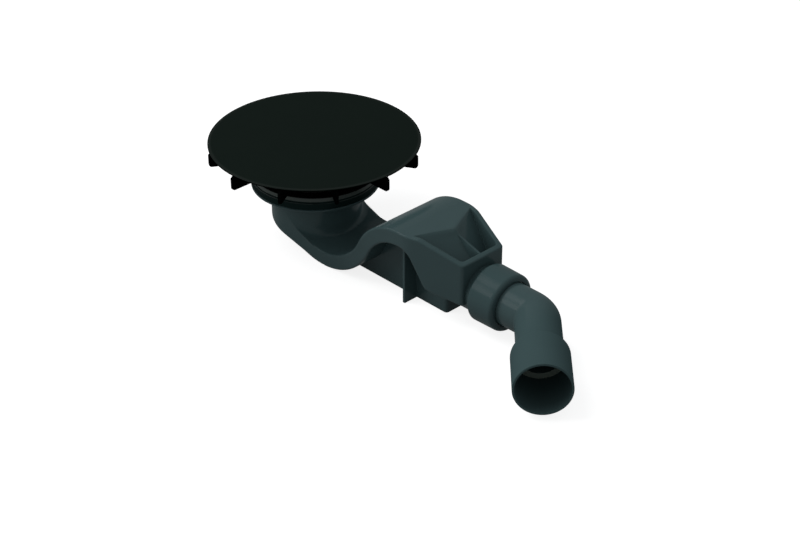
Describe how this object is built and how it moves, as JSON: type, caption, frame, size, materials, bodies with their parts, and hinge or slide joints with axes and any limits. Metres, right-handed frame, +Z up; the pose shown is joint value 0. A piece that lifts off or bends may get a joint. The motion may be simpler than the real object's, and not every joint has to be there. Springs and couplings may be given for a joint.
{
  "type": "shower trap",
  "caption": "Flat shower trap with a round lid on fins, a clamping flange, an S-shaped water seal and a swivelling angled outlet bend.",
  "frame": {"origin": "on the drain axis, in the upper face of the lower seal, where the shower tray sits", "axes": "+Z up along the drain axis, +X with the water towards the outlet"},
  "size_m": [0.4694, 0.1974, 0.0956],
  "materials": {
    "lid_black": "matt black",
    "carrier_black": "moulded black",
    "flange_grey": "moulded grey",
    "seal_rubber": "black rubber",
    "strainer_grey": "moulded grey",
    "body_slate": "moulded dark slate grey",
    "nut_slate": "moulded dark slate grey",
    "elbow_slate": "moulded dark slate grey"
  },
  "bodies": {
    "trap": {"cover_plate": "lid_black", "cover_carrier": "carrier_black", "clamp_flange": "flange_grey", "flange_gasket": "seal_rubber", "tray_seal": "seal_rubber", "hair_strainer": "strainer_grey", "trap_body": "body_slate", "outlet_seal": "seal_rubber", "slip_ring": "strainer_grey", "union_nut": "nut_slate"},
    "elbow": {"outlet_elbow": "elbow_slate"}
  },
  "joints": [
    {"name": "elbow_swivel", "type": "hinge", "parent": "trap", "child": "elbow", "pos_m": [0.242, 0, -0.0301], "axis": [-1, 0, 0], "range_deg": [0, 180]}
  ]
}
